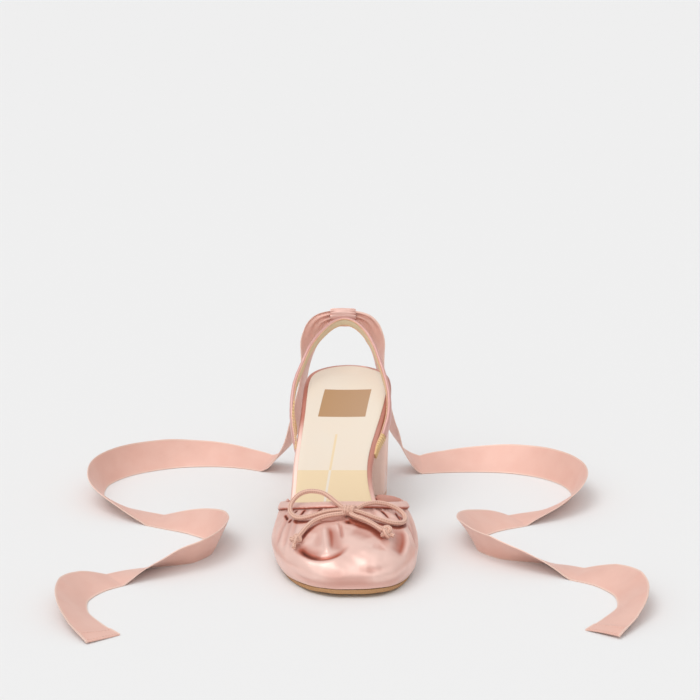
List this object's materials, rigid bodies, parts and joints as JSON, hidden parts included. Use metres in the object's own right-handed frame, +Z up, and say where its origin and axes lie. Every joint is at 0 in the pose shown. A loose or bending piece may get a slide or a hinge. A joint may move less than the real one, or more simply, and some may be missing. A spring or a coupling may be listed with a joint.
{
  "type": "high heel shoe",
  "caption": "Right ladies' satin slingback shoe with a gathered toe, thin cord bow, tall block heel and long ribbon ankle ties laid on the floor.",
  "frame": {"origin": "on the floor under the middle of the shoe's box, its bow and ribbon ties not counted", "axes": "+Y from toe to heel, +X towards the big toe's side, +Z up from the floor"},
  "size_m": [0.3529, 0.3295, 0.1198],
  "materials": {
    "satin": "glossy pink duchess satin",
    "satin_dusty": "dusty pink satin, cut on the bias",
    "sock": "smooth cream leather lining",
    "outsole": "tan sole leather, matt",
    "heel_lift": "nude hard rubber",
    "bow_cord": "dusty pink braided cord",
    "ribbon": "pink satin ribbon"
  },
  "bodies": {
    "root": {"outsole": "outsole", "footbed": "satin", "sock_lining": "sock", "block_heel": "satin", "heel_lift": "heel_lift", "upper": "satin", "topline_casing": "satin_dusty", "sling_strap": "satin_dusty", "ribbon_keeper": "satin_dusty", "bow_knot": "bow_cord", "bow_loop_outer": "bow_cord", "bow_loop_inner": "bow_cord", "bow_tail_outer": "bow_cord", "bow_tail_inner": "bow_cord", "end_knot_outer": "bow_cord", "end_knot_inner": "bow_cord", "ribbon_tie_outer": "ribbon", "ribbon_tie_inner": "ribbon"}
  },
  "joints": []
}
